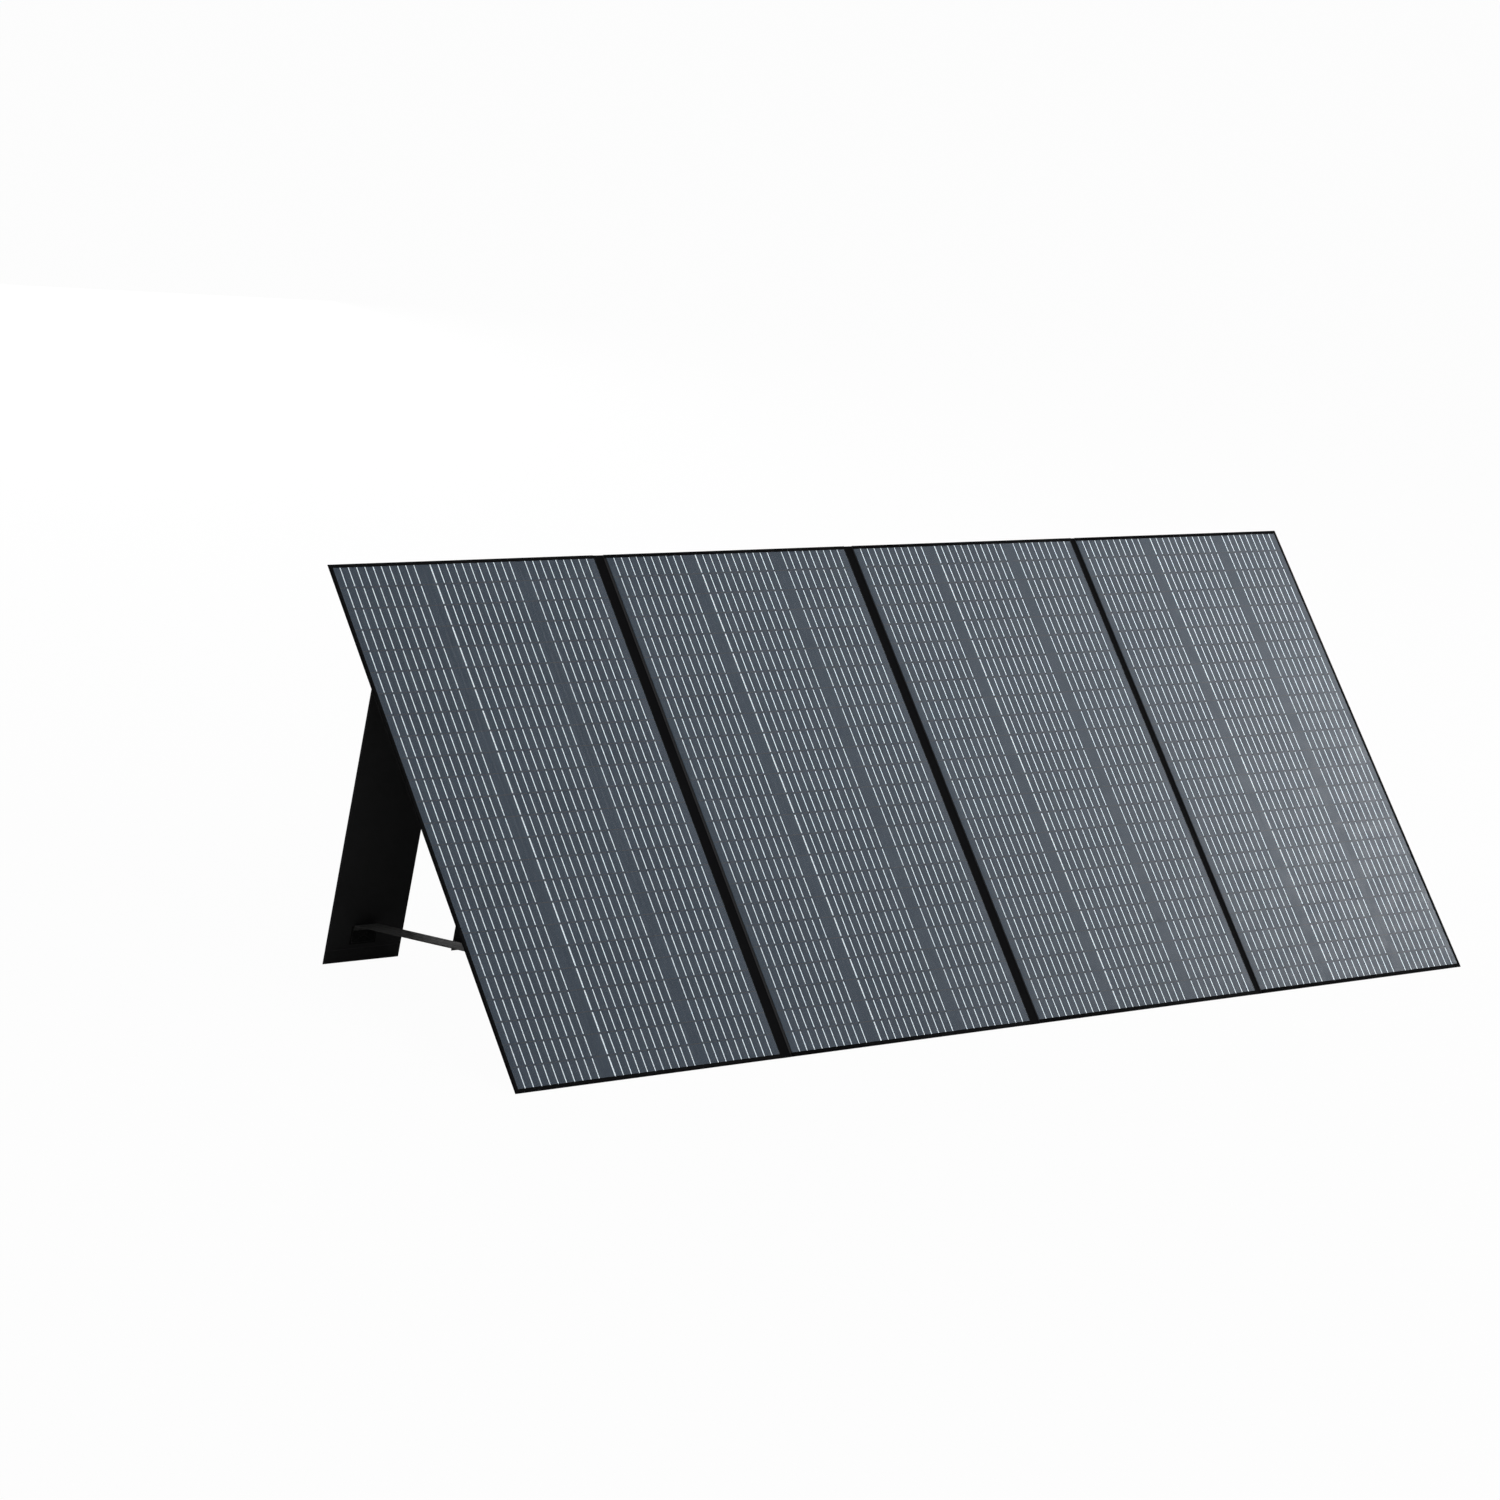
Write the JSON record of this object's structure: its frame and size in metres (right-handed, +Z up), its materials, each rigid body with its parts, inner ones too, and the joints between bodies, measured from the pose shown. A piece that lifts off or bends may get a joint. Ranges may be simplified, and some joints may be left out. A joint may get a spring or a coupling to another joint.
{
  "type": "folding solar panel",
  "caption": "Portable solar panel of stiff laminates joined by fabric hinges, propped on strapped rear legs; it folds up to a carry pack.",
  "frame": {"origin": "on the ground, at the centre of the footprint of the opened panel", "axes": "+X along the row of laminates, to the right as seen from the front; +Y to the rear; +Z up. The front face leans back 44 degrees from the ground"},
  "size_m": [2.4, 0.6942, 0.6704],
  "materials": {
    "front_film": "clear textured film over dark blue-grey cells, satin",
    "ribbon": "fine bright tinned lines",
    "cell": "dark blue-grey silicon",
    "board": "glass-fibre board, matte",
    "rear_fabric": "coated woven nylon, matte",
    "binding": "woven tape, matte",
    "hinge_fabric": "coated woven nylon, matte",
    "conductor": "bare flat copper",
    "leg_board": "plain stiffener board",
    "leg_fabric": "woven nylon, matte",
    "patch": "napped webbing, matte black",
    "webbing": "flat woven webbing",
    "strap_webbing": "dark grey woven webbing",
    "box_plastic": "fine-grained moulding",
    "diode": "moulded epoxy",
    "cable": "satin cable sheath",
    "connector": "satin moulding",
    "pocket_fabric": "coated woven nylon, matte",
    "zip_metal": "dark nickel"
  },
  "bodies": {
    "panel_1": {"front_film_1": "front_film", "ribbons_1": "ribbon", "cells_1": "cell", "backing_board_1": "board", "rear_cover_1": "rear_fabric", "edge_binding_1": "binding", "leg_tapes_1": "webbing", "strap_anchors_1": "webbing", "leg_straps_1": "strap_webbing", "handle_tabs_1": "webbing"},
    "strip_1": {"hinge_strip_1": "hinge_fabric", "hinge_jumpers_1": "conductor"},
    "panel_2": {"front_film_2": "front_film", "ribbons_2": "ribbon", "cells_2": "cell", "backing_board_2": "board", "rear_cover_2": "rear_fabric", "edge_binding_2": "binding", "handle_tabs_2": "webbing", "junction_box": "box_plastic", "junction_lid": "box_plastic", "bypass_diodes": "diode", "output_leads": "cable", "plug_connector": "connector", "socket_connector": "connector", "cable_pocket": "pocket_fabric"},
    "strip_2": {"hinge_strip_2": "hinge_fabric", "hinge_jumpers_2": "conductor"},
    "panel_3": {"front_film_3": "front_film", "ribbons_3": "ribbon", "cells_3": "cell", "backing_board_3": "board", "rear_cover_3": "rear_fabric", "edge_binding_3": "binding"},
    "strip_3": {"hinge_strip_3": "hinge_fabric", "hinge_jumpers_3": "conductor"},
    "panel_4": {"front_film_4": "front_film", "ribbons_4": "ribbon", "cells_4": "cell", "backing_board_4": "board", "rear_cover_4": "rear_fabric", "edge_binding_4": "binding", "leg_tapes_4": "webbing", "strap_anchors_4": "webbing", "leg_straps_4": "strap_webbing"},
    "leg_1": {"leg_board_1": "leg_board", "leg_sleeve_1": "leg_fabric", "leg_patch_1": "patch"},
    "leg_2": {"leg_board_2": "leg_board", "leg_sleeve_2": "leg_fabric", "leg_patch_2": "patch"},
    "leg_3": {"leg_board_3": "leg_board", "leg_sleeve_3": "leg_fabric", "leg_patch_3": "patch"},
    "leg_4": {"leg_board_4": "leg_board", "leg_sleeve_4": "leg_fabric", "leg_patch_4": "patch"},
    "handle_loop_1": {"handle_1": "webbing"},
    "handle_loop_2": {"handle_2": "webbing"},
    "zip_pull": {"zip_slider": "zip_metal"}
  },
  "joints": [
    {"name": "fold_1", "type": "hinge", "parent": "panel_1", "child": "panel_2", "pos_m": [-0.60235, -0.00837, 0.34387], "axis": [0, -0.7193, -0.6947], "range_deg": [0, 180]},
    {"name": "strip_1_bend", "type": "hinge", "parent": "panel_1", "child": "strip_1", "pos_m": [-0.6144, 0, 0.3352], "axis": [0, -0.7193, -0.6947], "range_deg": [0, 90]},
    {"name": "fold_2", "type": "hinge", "parent": "panel_2", "child": "panel_3", "pos_m": [0.0075, -0.00695, 0.34239], "axis": [0, -0.7193, -0.6947], "range_deg": [0, 180]},
    {"name": "strip_2_bend", "type": "hinge", "parent": "panel_2", "child": "strip_2", "pos_m": [-0.0025, 0, 0.3352], "axis": [0, -0.7193, -0.6947], "range_deg": [0, 90]},
    {"name": "fold_3", "type": "hinge", "parent": "panel_3", "child": "panel_4", "pos_m": [0.60925, -0.00358, 0.3389], "axis": [0, -0.7193, -0.6947], "range_deg": [0, 180]},
    {"name": "strip_3_bend", "type": "hinge", "parent": "panel_3", "child": "strip_3", "pos_m": [0.6041, 0, 0.3352], "axis": [0, -0.7193, -0.6947], "range_deg": [0, 90]},
    {"name": "leg_1_fold", "type": "hinge", "parent": "panel_1", "child": "leg_1", "pos_m": [-1.0815, 0.22087, 0.54626], "axis": [-1, 0, 0], "range_deg": [0, 46], "deforming": ["leg_straps_1"]},
    {"name": "leg_2_fold", "type": "hinge", "parent": "panel_1", "child": "leg_2", "pos_m": [-0.8005, 0.22087, 0.54626], "axis": [-1, 0, 0], "range_deg": [0, 46]},
    {"name": "leg_3_fold", "type": "hinge", "parent": "panel_4", "child": "leg_3", "pos_m": [0.8005, 0.22087, 0.54626], "axis": [-1, 0, 0], "range_deg": [0, 46], "deforming": ["leg_straps_4"]},
    {"name": "leg_4_fold", "type": "hinge", "parent": "panel_4", "child": "leg_4", "pos_m": [1.0815, 0.22087, 0.54626], "axis": [-1, 0, 0], "range_deg": [0, 46]},
    {"name": "handle_1_swing", "type": "hinge", "parent": "panel_1", "child": "handle_loop_1", "pos_m": [-0.905, 0.32734, 0.64762], "axis": [1, 0, 0], "range_deg": [0, 180]},
    {"name": "handle_2_swing", "type": "hinge", "parent": "panel_2", "child": "handle_loop_2", "pos_m": [-0.296, 0.32734, 0.64762], "axis": [1, 0, 0], "range_deg": [0, 180]},
    {"name": "zip_slide", "type": "slide", "parent": "panel_2", "child": "zip_pull", "axis": [1, 0, 0], "range_m": [0, 0.18]}
  ],
  "couplings": [
    {"joint": "strip_1_bend", "follows": "fold_1", "ratio": 0.5},
    {"joint": "strip_2_bend", "follows": "fold_2", "ratio": 0.5},
    {"joint": "strip_3_bend", "follows": "fold_3", "ratio": 0.5}
  ]
}
